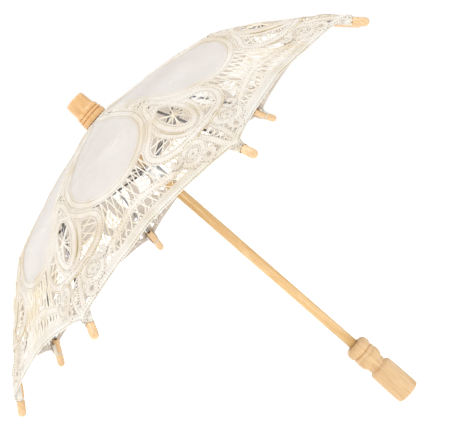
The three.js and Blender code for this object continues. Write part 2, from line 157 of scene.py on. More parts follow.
def cloth_line():
    shares = np.linspace(0, 1, 240)
    line = [(6.2, CLOTH_TOP_Z)]
    line += [cloth_point(INNER, share) for share in shares[3:]]
    elbow_at = len(line) - 1
    line += [cloth_point(OUTER, share) for share in shares[1:]]
    line = np.array(line)
    run = np.hypot(*np.diff(line, axis=0).T)
    s = line[0, 0] + np.concatenate([[0], np.cumsum(run)])
    return s, line, s[elbow_at]


LINE_S, LINE, ELBOW_S = cloth_line()
WAIST_S = LINE_S[-1] - WAIST


def line_at(s):
    return np.interp(s, LINE_S, LINE[:, 0]), np.interp(s, LINE_S, LINE[:, 1])


def width_at(s):
    """Half the panel's width, from its middle to the rib."""
    return line_at(s)[0] * math.sin(HALF)


def hem_s(u):
    return WAIST_S - HEM_RISE * np.sqrt(np.clip(1 - u, 0, 1))


# ---- Paths on the flat panel: s along the rib from the top, w across from the panel's middle ----
def curve(points, step=STEP):
    """A smooth curve through the points, with even steps."""
    p = np.array(points, float)
    p = np.vstack([2 * p[0] - p[1], p, 2 * p[-1] - p[-2]])
    out = []
    for i in range(1, len(p) - 2):
        a, b, c, d = p[i - 1 : i + 3]
        for t in np.linspace(0, 1, 12, endpoint=False):
            out.append(
                0.5 * (2 * b + (c - a) * t + (2 * a - 5 * b + 4 * c - d) * t**2 + (3 * b - a - 3 * c + d) * t**3)
            )
    out.append(p[-2])
    return even(np.array(out), step)


def even(points, step=STEP):
    run = np.hypot(*np.diff(points, axis=0)[:, :2].T)
    at = np.concatenate([[0], np.cumsum(run)])
    n = max(2, int(round(at[-1] / step)) + 1)
    target = np.linspace(0, at[-1], n)
    return np.stack([np.interp(target, at, points[:, k]) for k in range(points.shape[1])], 1)


def from_rib(pairs):
    """Points given as (s, distance from the rib)."""
    return [(s, float(width_at(s)) - d) for s, d in pairs]


def ellipse(centre, a_s, a_w, start, end, count=40):
    angles = np.radians(np.linspace(start, end, count))
    return np.stack([centre[0] + a_s * np.sin(angles), centre[1] + a_w * np.cos(angles)], 1)


def share_point(path, share):
    run = np.hypot(*np.diff(path, axis=0)[:, :2].T)
    at = np.concatenate([[0], np.cumsum(run)])
    return np.array([np.interp(share * at[-1], at, path[:, k]) for k in range(2)])


def beside(path, distance):
    """The path moved sideways: positive is to the left of its direction, as s points up and w points left."""
    t = np.gradient(path[:, :2], axis=0)
    t /= np.maximum(np.hypot(*t.T), 1e-9)[:, None]
    return path[:, :2] + np.stack([-t[:, 1], t[:, 0]], 1) * distance


def part_of(path, s_low=-1.0, s_high=400.0, w_low=-0.5, w_high=400.0):
    keep = (path[:, 0] > s_low) & (path[:, 0] < s_high) & (path[:, 1] > w_low) & (path[:, 1] < w_high)
    return path[keep]


MEDALLION_S = 161.5
MEDALLION = (41.5, 46.0)
ASIDE = TAPE + 0.5
straight = from_rib([(14, 3.4), (24, 4.6), (34, 5.4), (46, 5.8), (70, 6.0), (100, 6.9), (126, 8.9), (144, 10.2)])
outline = curve(straight + [tuple(p) for p in ellipse((MEDALLION_S, 0), *MEDALLION, 4, 90, 12)])
outline[-1, 1] = 0
loop_start = from_rib([(150, -3), (155.5, 1.0), (161, 5.6)])
loop_side = [tuple(p) for p in ellipse((MEDALLION_S, 0), MEDALLION[0] + ASIDE, MEDALLION[1] + ASIDE, 17, 50, 6)]
loop_end = [(207.5, 33), (215, 33), (222.5, 37), (229.5, 44.5), (233.6, 55), (235.6, 66), (236, 77)]
loop = curve(loop_start + loop_side + loop_end + from_rib([(235.6, 3), (235.3, -4)]))
OVAL_S = 199.0
oval = curve(from_rib([(172.6, -3), (173.4, 2), (179, 8.6), (188, 12.2), (199, 13.2), (210, 12.2), (219, 8.6), (224.6, 2), (225.4, -3)]))
ring_places = [(165.4, -3), (166.4, 3), (172.5, 12.0), (185, 18.4), (199, 20.4), (213, 18.4), (225.5, 12.0), (231, 3), (232, -3)]
oval_ring = curve(from_rib(ring_places))
arch = curve([(250.5, 51), (248.8, 42), (245.6, 32), (241.2, 20), (237.4, 9), (236, 0), (236.4, -3)])
LOBE = (250.4, 62.6)
LOBE_R = 11.0
CORNER_RING = (265.5, 72.5)
lobe = curve([tuple(p) for p in ellipse(LOBE, LOBE_R, LOBE_R, 200, 560, 15)])
lobe_heart = curve([tuple(p) for p in ellipse(LOBE, 3.4, 3.4, 20, 380, 13)], 0.9)
corner = curve(from_rib([(238, 9.0), (250, 7.0), (262, 6.0), (272, 4.4), (279, 1.6), (282, -0.5)]))


def hem_path(from_edge, u_low=-0.03, u_high=1.0):
    u = np.linspace(u_low, u_high, 90)
    s = hem_s(np.abs(u))
    return even(np.stack([s - from_edge, u * width_at(s)], 1))


hem = hem_path(HEM / 2)
inner_hem = hem_path(HEM + 2.4, u_high=0.6)
curl = curve([tuple(p) for p in ellipse((243.4, 48), 4.2, 4.2, -60, 250, 12)], 0.9)
small_ring = curve([tuple(p) for p in ellipse(CORNER_RING, 4.6, 4.6, 120, 480, 13)], 0.9)


# ---- Flat pieces: vertices (s, w, height over the cloth), with faces, texture places and materials ----
CLOTH_SLOT, TAPE_SLOT, THREAD_SLOT, HEM_SLOT, GOLD_SLOT, UNDERSIDE_SHADE_SLOT = range(6)


class Flat:
    def __init__(self):
        self.points, self.faces, self.uvs, self.slots = [], [], [], []

    def grid(self, rows, uvs, slot, under):
        """A closed solid from rings of points. From the point called under on, the ring is the underside, which takes
        the painted-shade material.
        """
        start = len(self.points)
        n = len(rows[0])
        for row in rows:
            self.points += [tuple(p) for p in row]
        for i in range(len(rows) - 1):
            for j in range(n):
                k = (j + 1) % n
                self.faces.append([start + i * n + j, start + i * n + k, start + (i + 1) * n + k, start + (i + 1) * n + j])
                self.uvs.append([uvs[i][j], uvs[i][j + 1], uvs[i + 1][j + 1], uvs[i + 1][j]])
                # Faces on the underside get the painted-shade material.
                self.slots.append(slot if j < under else UNDERSIDE_SHADE_SLOT)
        for i, order in ((0, -1), (len(rows) - 1, 1)):
            ring = [start + i * n + j for j in range(n)][::order]
            self.faces.append(ring)
            self.uvs.append([(0.0, 0.0)] * n)
            self.slots.append(slot)

    def sweep(self, path, section, slot, height=0.0, sway=None):
        """A closed section, (across, up) points, carried along a path."""
        path = np.asarray(path, float)
        lift = path[:, 2] if path.shape[1] > 2 else np.full(len(path), height)
        tangent = np.gradient(path[:, :2], axis=0)
        tangent /= np.maximum(np.hypot(*tangent.T), 1e-9)[:, None]
        side = np.stack([-tangent[:, 1], tangent[:, 0]], 1)
        run = np.concatenate([[0], np.cumsum(np.hypot(*np.diff(path[:, :2], axis=0).T))])
        section = np.array(section, float)
        around = np.concatenate([[0], np.cumsum(np.hypot(*np.diff(np.vstack([section, section[:1]]), axis=0).T))])
        rows, uvs = [], []
        for i, p in enumerate(path):
            scale = 1.0 if sway is None else sway[i]
            rows.append([(*(p[:2] + side[i] * a * scale), lift[i] + b) for a, b in section])
            uvs.append([(run[i] * MM, (a if slot in (TAPE_SLOT, HEM_SLOT) else around[j]) * MM) for j, (a, b) in enumerate(section)])
            last = section[0][0] if slot in (TAPE_SLOT, HEM_SLOT) else around[-1]
            uvs[-1].append((run[i] * MM, last * MM))
        self.grid(rows, uvs, slot, len(section) - 3 if slot in (TAPE_SLOT, HEM_SLOT) else len(section))

    def tube(self, path, radius, slot=THREAD_SLOT, sides=6):
        angles = np.arange(sides) * 2 * math.pi / sides
        self.sweep(path, [(radius * math.cos(a), -radius * math.sin(a)) for a in angles], slot)


def tape_section(width, thick, cord=0.34):
    """A flat tape with a raised cord along each edge and a rib down its middle."""
    h = width / 2
    top = thick / 2
    half = [
        (h, 0), (h - 0.16, top + cord * 0.7), (h - 0.6, top + cord), (h - 1.15, top * 0.5), (h * 0.5, top * 0.6),
        (h * 0.4, top + cord * 0.7), (h * 0.26, top * 0.8), (h * 0.1, top),
    ]
    return [(-a, b) for a, b in half] + half[::-1] + [(h - 0.5, -top), (-h + 0.5, -top)]


def tape(flat, path, width=TAPE, height=0.3, thick=0.45, slot=TAPE_SLOT, ripple=1.0):
    """A tape eased round its bends: it gathers there and ripples a little."""
    run = np.arange(len(path)) * STEP
    t = np.gradient(path[:, :2], axis=0)
    heading = np.unwrap(np.arctan2(t[:, 1], t[:, 0]))
    bend = np.abs(np.gradient(heading)) / STEP
    wave = np.clip(bend * 5, 0, 0.32) * (np.sin(run * 1.7) + 0.5 * np.sin(run * 0.73 + 1))
    lifted = np.column_stack([path[:, :2], height + wave * 0.55 * ripple])
    flat.sweep(lifted, tape_section(width, thick), slot)


def thread(flat, a, b, over=0.0):
    """A thread from a to b on the flat panel, a little slack, over or under its neighbours."""
    a, b = np.array(a, float), np.array(b, float)
    length = max(np.hypot(*(b - a)), 0.5)
    t = np.linspace(0, 1, max(3, int(length / 2.2) + 1))
    side = np.array([-(b - a)[1], (b - a)[0]]) / length
    slack = rng.uniform(-1, 1) * THREAD_SLACK * length
    path = a + np.outer(t, b - a) + np.outer(4 * t * (1 - t) * slack, side)
    flat.tube(np.column_stack([path, over * 4 * t * (1 - t)]), THREAD_R * rng.uniform(0.9, 1.12))


def bars(flat, first, second, count, cross=True):
    """Bars between two edges: crossing in pairs, or worked to and fro."""
    shares = np.linspace(0, 1, count)
    for low, high in zip(shares, shares[1:]):
        if cross:
            thread(flat, share_point(first, low), share_point(second, high), over=0.4)
            thread(flat, share_point(second, low), share_point(first, high), over=-0.4)
        else:
            middle = (low + high) / 2
            thread(flat, share_point(first, low), share_point(second, middle))
            thread(flat, share_point(second, middle), share_point(first, high))


def rib_line(start, end, count=60):
    s = np.linspace(start, end, count)
    return np.stack([s, width_at(s)], 1)


def ladder(flat, edge, start, end, pitch):
    """Bars from an edge to the rib's line and back. The next panel's bars carry on across the rib."""
    line = rib_line(start, end)
    count = max(2, int(round((end - start) / pitch)) + 1)
    for i in range(count - 1):
        lo, hi = start + (end - start) * i / (count - 1), start + (end - start) * (i + 1) / (count - 1)
        middle = (lo + hi) / 2
        for s0, s1 in ((lo, middle), (hi, middle)):
            a = edge_point(edge, s0)
            b = np.array([s1, float(width_at(s1)) + 0.6])
            thread(flat, a, b)


def edge_point(edge, s):
    return edge[int(np.argmin(np.abs(edge[:, 0] - s))), :2]


def web(flat, centre, reach, spokes, start, end):
    """Threads from the middle of an opening to its tape, with a small woven button at the middle."""
    angles = np.radians(np.linspace(start, end, spokes))
    centre = np.array(centre, float)
    for ray in np.stack([reach[0] * np.sin(angles), reach[1] * np.cos(angles)], 1):
        thread(flat, centre, centre + ray)
    disc = np.radians(np.linspace(start, end, spokes * 2))
    for ring in (1.1, 1.9):
        button = centre + np.stack([np.sin(disc), np.cos(disc)], 1) * ring
        flat.tube(np.column_stack([button, np.full(len(disc), 0.35)]), CORD_R)


def crease(s, w):
    """Two soft curved folds in the cloth, one on each side of its middle."""
    fold = 0.0
    for place, reach in CREASES:
        line = place + 0.035 * (w - 16) ** 2
        fold += CREASE_HEIGHT * math.exp(-(((s - line) / CREASE_WIDTH) ** 2)) * (1 - smooth(abs(w - reach), 5, 9))
    return fold


def cloth_panel(flat):
    """The plain cloth inset, a closed sheet that ends under its tape."""
    keep = outline[outline[:, 0] > 16]
    reach = 0.6
    far = MEDALLION_S + MEDALLION[0] + reach
    s_values = np.concatenate([np.arange(16.5, 143, 3.2), np.arange(144, 176, 0.8), np.arange(177, 192, 2.2), np.linspace(192.5, far, 9)])
    columns = 30
    rows_top, rows_low, uvs = [], [], []
    for s in s_values:
        if s < MEDALLION_S:
            half = float(np.interp(s, keep[:, 0], keep[:, 1])) + reach
        else:
            drop = (s - MEDALLION_S) / (MEDALLION[0] + reach)
            half = (MEDALLION[1] + reach) * math.sqrt(max(0.0004, 1 - drop * drop))
        w = np.linspace(0, half, columns)
        rows_top.append([(s, x, crease(s, x) + 0.14) for x in w])
        rows_low.append([(s, x, crease(s, x) - 0.14) for x in w])
        uvs.append([(s * MM, x * MM) for x in w])
    rows = [top + low[::-1] for top, low in zip(rows_top, rows_low)]
    flat.grid(rows, [u + u[::-1] + u[:1] for u in uvs], CLOTH_SLOT, columns)


def stitches(flat, path, pitch, length, radius, height, offset):
    """A row of short stitches beside a path."""
    path = even(np.asarray(path)[:, :2], pitch)
    tangent = np.gradient(path, axis=0)
    tangent /= np.maximum(np.hypot(*tangent.T), 1e-9)[:, None]
    side = np.stack([-tangent[:, 1], tangent[:, 0]], 1)
    for p, t, n in zip(path, tangent, side):
        a = p + n * offset - t * length / 2
        t3 = np.linspace(0, 1, 4)
        line = a + np.outer(t3 * length, t)
        flat.tube(np.column_stack([line, height + radius * 0.9 * np.sin(math.pi * t3)]), radius, THREAD_SLOT, 5)


def make_pattern():
    flat = Flat()
    cloth_panel(flat)
    tape(flat, outline, height=0.25)
    tape(flat, loop, height=0.5)
    tape(flat, oval, OVAL_TAPE, 0.45)
    tape(flat, oval_ring, RING_TAPE, 0.15)
    tape(flat, arch, height=0.32)
    tape(flat, lobe, LOBE_TAPE, 0.75)
    tape(flat, corner, CORNER_TAPE, 0.25)
    tape(flat, inner_hem, 5.0, 0.3)
    tape(flat, curl, 5.0, 1.1)
    tape(flat, small_ring, RING_TAPE, 0.6)
    tape(flat, lobe_heart, 5.6, 0.5)
    flat.sweep(np.column_stack([hem, np.full(len(hem), 0.4)]), tape_section(HEM, 1.0, 0.12), HEM_SLOT)
    stitches(flat, hem, 2.3, 1.5, 0.2, 0.92, -1.7)
    stitches(flat, outline[outline[:, 0] > 40], 2.6, 1.5, 0.15, 0.52, 3.2)
    tuck = TAPE / 2 - TUCK
    # Golden-brown cords along tape edges where the tapes fold and overlap: partly a stain, partly painted shade of
    # those folds.
    stain_and_fold_shade_cords = ((loop, -TAPE, 227, 236.4), (oval, -OVAL_TAPE, 198, 222), (lobe, LOBE_TAPE, 240, 256))
    for path, width, low, high in stain_and_fold_shade_cords:
        edge = beside(path, width / 2 - math.copysign(0.2, width))
        edge = edge[(path[:, 0] > low) & (path[:, 0] < high)]
        if path is lobe:
            edge = edge[: len(edge) // 2]
        flat.tube(np.column_stack([edge, np.full(len(edge), STAIN_AND_SHADE_CORD_LIFT)]), CORD_R, GOLD_SLOT)
    ladder(flat, beside(outline, tuck), 62, 158, 7.4)
    ladder(flat, beside(corner, CORNER_TAPE / 2 - TUCK), 241, 272, 7.0)
    crescent_out = part_of(beside(loop, tuck), 178, 229, 20)
    crescent_in = part_of(beside(oval_ring, -RING_TAPE / 2 + TUCK), 176, 222, 20)
    bars(flat, crescent_out, crescent_in, 7)
    opening_top = part_of(beside(outline, tuck), 180, 400, -0.5, 31)[::-1]
    opening_low = part_of(beside(arch, tuck), 0, 400, -0.5, 38)[::-1]
    bars(flat, opening_top, opening_low, 6)
    lens_top = part_of(beside(arch, -tuck), 0, 400, -0.5, 46)[::-1]
    lens_low = part_of(inner_hem, 0, 400, -0.5, 50)
    bars(flat, lens_top, lens_low, 7)
    hem_far = part_of(hem, 0, 400, 50, 84)
    under = ellipse(LOBE, LOBE_R, LOBE_R, 145, 35)
    bars(flat, under[::-1], hem_far[::-1], 4, cross=False)
    beyond = part_of(corner, 242, 266)
    bars(flat, ellipse(LOBE, LOBE_R, LOBE_R, -50, 50), beyond, 4, cross=False)
    web(flat, (OVAL_S, float(width_at(OVAL_S))), (25, 12.6), 7, 90, 270)
    return flat


# ---- From the flat panel to the canopy ----
def clipped(flat, cuts):
    """The flat mesh, across measured as a share of the panel's half width, cut at planes and closed there."""
    bm = bmesh.new()
    points = np.array(flat.points)
    share = points[:, 1] / width_at(points[:, 0])
    verts = [bm.verts.new((s / 100, u, h / 10)) for s, u, h in zip(points[:, 0], share, points[:, 2])]
    uv = bm.loops.layers.uv.new("UVMap")
    for corners, places, slot in zip(flat.faces, flat.uvs, flat.slots):
        if len(set(corners)) < 3:
            continue
        face = bm.faces.new([verts[c] for c in corners])
        face.material_index = slot
        face.smooth = True
        for loop_, place in zip(face.loops, places):
            loop_[uv].uv = place
    for place, normal in cuts:
        found = bmesh.ops.bisect_plane(
            bm, geom=bm.verts[:] + bm.edges[:] + bm.faces[:], dist=1e-7, plane_co=place, plane_no=normal, clear_outer=True
        )
        rim = [e for e in found["geom_cut"] if isinstance(e, bmesh.types.BMEdge) and e.is_boundary]
        if rim:
            bmesh.ops.edgeloop_fill(bm, edges=rim, use_smooth=False)
    bm.verts.index_update()
    mesh = bpy.data.meshes.new("flat")
    bm.to_mesh(mesh)
    bm.free()
    return mesh


SEAM_START = 0.8
ELBOW_CUT = (ELBOW_S / 100, 0, 0)
SIDES = [((0, 0, 0), (0, -1, 0)), ((0, 1, 0), (0, 1, 0))]


def panel_place(points, angle, side):
    """Places (s, share, height) points on the panel beside a rib; side is 1 or -1 for its two panels."""
    s, u, h = points[:, 0] * 100, points[:, 1], points[:, 2] * 10
    middle = angle + side * HALF
    out = np.array([math.cos(middle), math.sin(middle)])
    across = np.array([-math.sin(middle), math.cos(middle)]) * -side
    r, z = line_at(s)
    r0, z0 = line_at(s - 1.5)
    r1, z1 = line_at(s + 1.5)
    run = np.hypot((r1 - r0) * math.cos(HALF), z1 - z0)
    nr, nz = -(z1 - z0) / run, (r1 - r0) * math.cos(HALF) / run
    rib = np.array([math.cos(angle), math.sin(angle)])
    over_rib = np.hypot(r1 - r0, z1 - z0)
    t = np.clip((u - SEAM_START) / (1 - SEAM_START), 0, 1)[:, None]
    flat_up = np.column_stack([nr[:, None] * out, nz])
    rib_up = np.column_stack([(-(z1 - z0) / over_rib)[:, None] * rib, (r1 - r0) / over_rib])
    up = flat_up * (1 - t) + rib_up * t
    up /= np.linalg.norm(up, axis=1)[:, None]
    width = u * r * math.sin(HALF)
    xy = (r * math.cos(HALF))[:, None] * out + width[:, None] * across
    return np.column_stack([xy, z]) + up * h[:, None], up


def puckers(points, normals):
    """The small unevenness of handwork, the same on both sides of every seam."""
    moved = points.copy()
    for i, (p, n) in enumerate(zip(points, normals)):
        reach = math.hypot(p[0], p[1])
        ease = smooth(reach, 16, 60) * (1 - smooth(reach, 205, 240) * 0.6)
        v = Vector(p)
        rise = noise.noise(v / 21) * 0.7 + noise.noise(v / 7.5) * 0.28
        shift = noise.noise_vector(v / 34 + Vector((7, 3, 1))) * 1.1
        moved[i] += n * rise * ease
        moved[i] += np.array(shift) * ease * (1 - np.abs(n) * 0.6)
    return moved * MM


def lace_piece(name, flat_mesh, rib, side):
    mesh = flat_mesh.copy()
    mesh.name = name
    co = np.zeros(len(mesh.vertices) * 3)
    mesh.vertices.foreach_get("co", co)
    placed, normals = panel_place(co.reshape(-1, 3), rib_angle(rib), side)
    mesh.vertices.foreach_set("co", puckers(placed, normals).ravel())
    if side < 0:
        mesh.flip_normals()
    mesh.update()
    obj = bpy.data.objects.new(name, mesh)
    bpy.context.scene.collection.objects.link(obj)
    for material in LACE_MATERIALS:
        mesh.materials.append(material)
    mesh.set_sharp_from_angle(angle=math.radians(60))
    return obj


# ---- Materials ----
def material(name):
    made = bpy.data.materials.new(name)
    made.use_nodes = True
    return made, made.node_tree, made.node_tree.nodes["Principled BSDF"]


def node(tree, kind, inputs=None, **settings):
    made = tree.nodes.new(kind)
    for key, value in settings.items():
        setattr(made, key, value)
    for key, value in (inputs or {}).items():
        socket = made.inputs[key]
        if isinstance(value, bpy.types.NodeSocket):
            tree.links.new(value, socket)
        else:
            socket.default_value = value
    return made


def ramp(tree, factor, stops):
    made = node(tree, "ShaderNodeValToRGB", {0: factor})
    elements = made.color_ramp.elements
    while len(elements) < len(stops):
        elements.new(0.5)
    for element, (place, colour) in zip(elements, stops):
        element.position = place
        element.color = (*colour, 1) if len(colour) == 3 else colour
    return made.outputs[0]


def srgb(r, g, b):
    return tuple(((v / 255 + 0.055) / 1.055) ** 2.4 if v > 10 else v / 255 / 12.92 for v in (r, g, b))


def bumped(tree, shader, height, distance, strength=1.0):
    made = node(tree, "ShaderNodeBump", {"Height": height, "Distance": distance, "Strength": strength})
    tree.links.new(made.outputs[0], shader.inputs["Normal"])


def math_node(tree, operation, a, b=0.0):
    return node(tree, "ShaderNodeMath", {0: a, 1: b}, operation=operation).outputs[0]


def woven(tree, place, across, along):
    """Over-and-under weave: height of crossing threads, with so many to the metre each way."""
    split = node(tree, "ShaderNodeSeparateXYZ", {0: place})
    u = math_node(tree, "MULTIPLY", split.outputs[0], across * math.pi)
    v = math_node(tree, "MULTIPLY", split.outputs[1], along * math.pi)
    su, sv = math_node(tree, "SINE", u), math_node(tree, "SINE", v)
    return math_node(tree, "ABSOLUTE", math_node(tree, "MULTIPLY", su, sv))


def fabric(name, light, dark, stain, weave, roughness=0.85, thin=0.18, dashes=None):
    made, tree, shader = material(name)
    uv = node(tree, "ShaderNodeUVMap", uv_map="UVMap").outputs[0]
    place = node(tree, "ShaderNodeTexCoord").outputs["Object"]
    height = woven(tree, uv, *weave)
    cloud = node(tree, "ShaderNodeTexNoise", {"Vector": place, "Scale": 26.0, "Detail": 5.0, "Roughness": 0.6}).outputs[0]
    tint = ramp(tree, cloud, [(0.36, stain), (0.52, dark), (0.66, light)])
    # Painted shade: the colour darkens in the low places of the weave, the gaps between threads, where shade falls.
    weave_gap_shade = ramp(tree, height, [(0.0, (0.80, 0.77, 0.71)), (0.45, (1, 1, 1))])
    colour = node(tree, "ShaderNodeMix", {"Factor": 1.0, "A": tint, "B": weave_gap_shade}, data_type="RGBA", blend_type="MULTIPLY")
    for socket, value in ((colour.inputs[6], tint), (colour.inputs[7], weave_gap_shade)):
        tree.links.new(value, socket)
    out = colour.outputs[2]
    if dashes:
        split = node(tree, "ShaderNodeSeparateXYZ", {0: uv})
        edge = math_node(tree, "ABSOLUTE", split.outputs[1])
        near = math_node(tree, "ABSOLUTE", math_node(tree, "SUBTRACT", edge, dashes[0] * MM))
        in_row = math_node(tree, "LESS_THAN", near, dashes[1] * MM)
        beat = math_node(tree, "SINE", math_node(tree, "MULTIPLY", split.outputs[0], dashes[2]))
        hole = math_node(tree, "MULTIPLY", in_row, math_node(tree, "GREATER_THAN", beat, 0.05))
        # Painted shade: the rows of drawn-thread holes are coloured a darker beige, standing for the shade inside holes
        # that the mesh does not have.
        hole_shaded = node(tree, "ShaderNodeMix", data_type="RGBA", blend_type="MIX")
        tree.links.new(hole, hole_shaded.inputs[0])
        tree.links.new(out, hole_shaded.inputs[6])
        hole_shaded.inputs[7].default_value = (*srgb(186, 168, 142), 1)
        out = hole_shaded.outputs[2]
        height = math_node(tree, "SUBTRACT", height, math_node(tree, "MULTIPLY", hole, 1.6))
    tree.links.new(out, shader.inputs["Base Color"])
    shader.inputs["Roughness"].default_value = roughness
    shader.inputs["Sheen Weight"].default_value = 0.25
    shader.inputs["Sheen Roughness"].default_value = 0.5
    shader.inputs["Specular IOR Level"].default_value = 0.25
    bumped(tree, shader, height, 0.00012, 0.7)
    if thin:
        through = node(tree, "ShaderNodeBsdfTranslucent", {"Color": out})
        mixed = node(tree, "ShaderNodeMixShader", {0: thin, 1: shader.outputs[0], 2: through.outputs[0]})
        tree.links.new(mixed.outputs[0], tree.nodes["Material Output"].inputs["Surface"])
    return made


def wood(name, base, dark, light, grain=1.0, roughness=0.34, coat=0.35):
    """Turned beech: fine streaks along the grain, short flecks, a thin worn varnish."""
    made, tree, shader = material(name)
    place = node(tree, "ShaderNodeTexCoord").outputs["Object"]
    stretched = node(tree, "ShaderNodeMapping", {"Vector": place, "Scale": (1.0, 1.0, 0.07)}).outputs[0]
    warp = node(tree, "ShaderNodeTexNoise", {"Vector": stretched, "Scale": 60.0 * grain, "Detail": 3.0}).outputs[1]
    bent = node(tree, "ShaderNodeMix", {0: 0.02}, data_type="VECTOR")
    tree.links.new(stretched, bent.inputs[4])
    tree.links.new(warp, bent.inputs[5])
    streak = node(tree, "ShaderNodeTexNoise", {"Vector": bent.outputs[1], "Scale": 420.0 * grain, "Detail": 6.0, "Roughness": 0.62}).outputs[0]
    broad = node(tree, "ShaderNodeTexNoise", {"Vector": stretched, "Scale": 90.0 * grain, "Detail": 2.0}).outputs[0]
    fleck_place = node(tree, "ShaderNodeMapping", {"Vector": place, "Scale": (1.0, 1.0, 0.22)}).outputs[0]
    fleck = node(tree, "ShaderNodeTexVoronoi", {"Vector": fleck_place, "Scale": 900.0 * grain, "Randomness": 1.0}).outputs[0]
    tone = ramp(tree, streak, [(0.32, dark), (0.5, base), (0.68, light)])
    shade = ramp(tree, broad, [(0.3, (0.90, 0.85, 0.78)), (0.7, (1, 1, 1))])
    mixed = node(tree, "ShaderNodeMix", {0: 0.8}, data_type="RGBA", blend_type="MULTIPLY")
    tree.links.new(tone, mixed.inputs[6])
    tree.links.new(shade, mixed.inputs[7])
    flecks = ramp(tree, fleck, [(0.0, (0.70, 0.56, 0.42)), (0.16, (1, 1, 1))])
    marked = node(tree, "ShaderNodeMix", {0: 0.5}, data_type="RGBA", blend_type="MULTIPLY")
    tree.links.new(mixed.outputs[2], marked.inputs[6])
    tree.links.new(flecks, marked.inputs[7])
    tree.links.new(marked.outputs[2], shader.inputs["Base Color"])
    wear = node(tree, "ShaderNodeTexNoise", {"Vector": place, "Scale": 150.0, "Detail": 4.0}).outputs[0]
    rough = node(tree, "ShaderNodeMapRange", {"Value": wear, "From Min": 0.3, "From Max": 0.7, "To Min": roughness - 0.08, "To Max": roughness + 0.14})
    tree.links.new(rough.outputs[0], shader.inputs["Roughness"])
    shader.inputs["Coat Weight"].default_value = coat
    shader.inputs["Coat Roughness"].default_value = 0.22
    bumped(tree, shader, streak, 0.00008, 0.5)
    return made


def metal(name, colour, roughness):
    made, tree, shader = material(name)
    place = node(tree, "ShaderNodeTexCoord").outputs["Object"]
    spots = node(tree, "ShaderNodeTexNoise", {"Vector": place, "Scale": 700.0, "Detail": 5.0, "Roughness": 0.7}).outputs[0]
    tone = ramp(tree, spots, [(0.3, tuple(v * 0.72 for v in colour)), (0.5, colour), (0.75, tuple(min(1, v * 1.08) for v in colour))])
    tree.links.new(tone, shader.inputs["Base Color"])
    rough = node(tree, "ShaderNodeMapRange", {"Value": spots, "From Min": 0.3, "From Max": 0.7, "To Min": roughness, "To Max": roughness + 0.16})
    tree.links.new(rough.outputs[0], shader.inputs["Roughness"])
    shader.inputs["Metallic"].default_value = 1.0
    bumped(tree, shader, spots, 0.00002, 0.4)
    return made


IVORY = srgb(250, 246, 240)
IVORY_DARK = srgb(246, 239, 230)
IVORY_STAIN = srgb(236, 223, 202)
cloth_material = fabric("cloth", srgb(244, 240, 237), srgb(241, 236, 233), srgb(237, 231, 227), (3400, 3400), thin=0.15)
tape_material = fabric("tape", IVORY, IVORY_DARK, IVORY_STAIN, (2300, 2600), thin=0.12, dashes=(2.75, 0.42, 2400))
thread_material = fabric("thread", srgb(251, 247, 240), srgb(247, 241, 230), srgb(238, 225, 200), (2600, 1500), thin=0.0)
# Cord colour: partly stain, partly painted shade along the tape folds.
gold_material = fabric("stained_and_fold_shaded_cord", srgb(228, 216, 180), srgb(214, 198, 152), srgb(188, 168, 118), (2600, 1500), thin=0.0)
hem_material = fabric("hem", srgb(252, 250, 246), srgb(248, 245, 238), srgb(241, 233, 215), (3000, 3000), thin=0.1, dashes=(1.7, 0.34, 2400))
# Painted shade: the undersides of the lace take this darker beige-grey, which stands for the shade on the canopy's
# inner side.
underside_shade_material = fabric("underside_painted_shade", srgb(226, 217, 207), srgb(220, 210, 199), srgb(212, 200, 187), (2300, 2600), thin=0.1)
LACE_MATERIALS = [cloth_material, tape_material, thread_material, hem_material, gold_material, underside_shade_material]
handle_wood = wood("handle_wood", srgb(224, 189, 142), srgb(210, 170, 118), srgb(234, 203, 160))
finial_wood = wood("finial_wood", srgb(230, 184, 126), srgb(214, 162, 102), srgb(240, 202, 150))
shaft_wood = wood("shaft_wood", srgb(234, 196, 138), srgb(220, 174, 112), srgb(244, 214, 164))
tip_wood = wood("tip_wood", srgb(229, 194, 149), srgb(214, 174, 126), srgb(240, 210, 170), 1.6)
nickel = metal("nickel", (0.70, 0.70, 0.69), 0.14)
steel_wire = metal("steel_wire", (0.30, 0.30, 0.31), 0.16)


# ---- Wooden pieces, turned ----
def rounded(profile, times=1):
    """Corners cut and cut again, so a profile of straight lines turns smooth."""
    p = [tuple(q) for q in profile]
    for _ in range(times):
        out = [p[0]]
        for a, b in zip(p, p[1:]):
            out.append((a[0] * 0.75 + b[0] * 0.25, a[1] * 0.75 + b[1] * 0.25))
            out.append((a[0] * 0.25 + b[0] * 0.75, a[1] * 0.25 + b[1] * 0.75))
        out.append(p[-1])
        p = out
    return p


def lathe(name, profile, segments, placement=None, uneven=0.0):
    """A turned solid from (radius, z) points in millimetres that start and end on the axis."""
    bm = bmesh.new()
    rings = []
    for r, z in profile:
        if r < 1e-6:
            rings.append([bm.verts.new((0, 0, z))])
            continue
        ring = []
        for k in range(segments):
            a = 2 * math.pi * k / segments
            wobble = 1 + uneven * noise.noise(Vector((math.cos(a) * 0.8, math.sin(a) * 0.8, z * 0.05)))
            ring.append(bm.verts.new((r * wobble * math.cos(a), r * wobble * math.sin(a), z)))
        rings.append(ring)
    for low, high in zip(rings, rings[1:]):
        for k in range(segments):
            j = (k + 1) % segments
            if len(low) == 1 and len(high) == 1:
                continue
            if len(low) == 1:
                corners = [low[0], high[j], high[k]]
            elif len(high) == 1:
                corners = [low[k], low[j], high[0]]
            else:
                corners = [low[k], low[j], high[j], high[k]]
            bm.faces.new(corners).smooth = True
    bmesh.ops.recalc_face_normals(bm, faces=bm.faces[:])
    bm.transform(placement or Matrix.Identity(4))
    bm.transform(Matrix.Scale(MM, 4))
    mesh = bpy.data.meshes.new(name)
    bm.to_mesh(mesh)
    bm.free()
    mesh.set_sharp_from_angle(angle=math.radians(50))
    obj = bpy.data.objects.new(name, mesh)
    bpy.context.scene.collection.objects.link(obj)
    return obj


def stand_in(obj, body, cad_node, slot, *materials):
    for made in materials:
        obj.data.materials.append(made)
    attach(obj, body)
    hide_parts(cad_node)
    return obj


